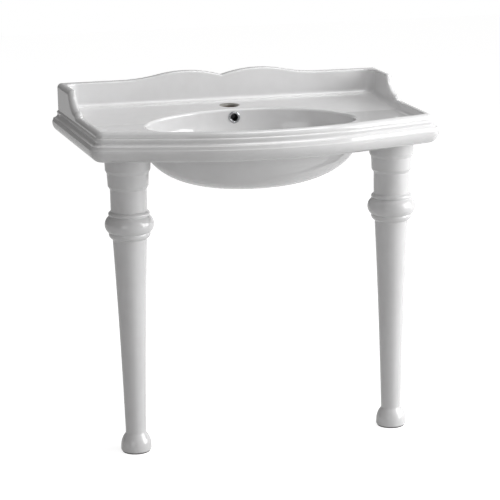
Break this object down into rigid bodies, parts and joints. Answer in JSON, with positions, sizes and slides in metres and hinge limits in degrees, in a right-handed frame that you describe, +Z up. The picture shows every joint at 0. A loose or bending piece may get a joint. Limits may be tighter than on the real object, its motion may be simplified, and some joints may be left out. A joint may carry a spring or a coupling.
{
  "type": "console washbasin",
  "caption": "White china console washbasin with a moulded edge, low back and side splashes, an oval bowl and two turned china legs.",
  "frame": {"origin": "on the wall plane, midway between the two wall-fixing holes, 0.755 m above the floor", "axes": "+X to the user's right along the wall, +Y into the wall, +Z up"},
  "size_m": [0.89, 0.5955, 0.877],
  "materials": {
    "china": "gloss",
    "chrome": "polished",
    "brass": "satin",
    "steel": "satin",
    "nylon": "matte",
    "rubber": "matte"
  },
  "bodies": {
    "root": {"basin": "china", "overflow_ring": "chrome", "overflow_sleeve": "rubber", "left_leg": "china", "left_leg_insert": "brass", "left_tie_rod": "steel", "left_leg_bush": "nylon", "left_top_gasket": "rubber", "left_foot_plate": "steel", "left_foot_nut": "steel", "left_foot_pad": "rubber", "right_leg": "china", "right_leg_insert": "brass", "right_tie_rod": "steel", "right_leg_bush": "nylon", "right_top_gasket": "rubber", "right_foot_plate": "steel", "right_foot_nut": "steel", "right_foot_pad": "rubber"}
  },
  "joints": []
}
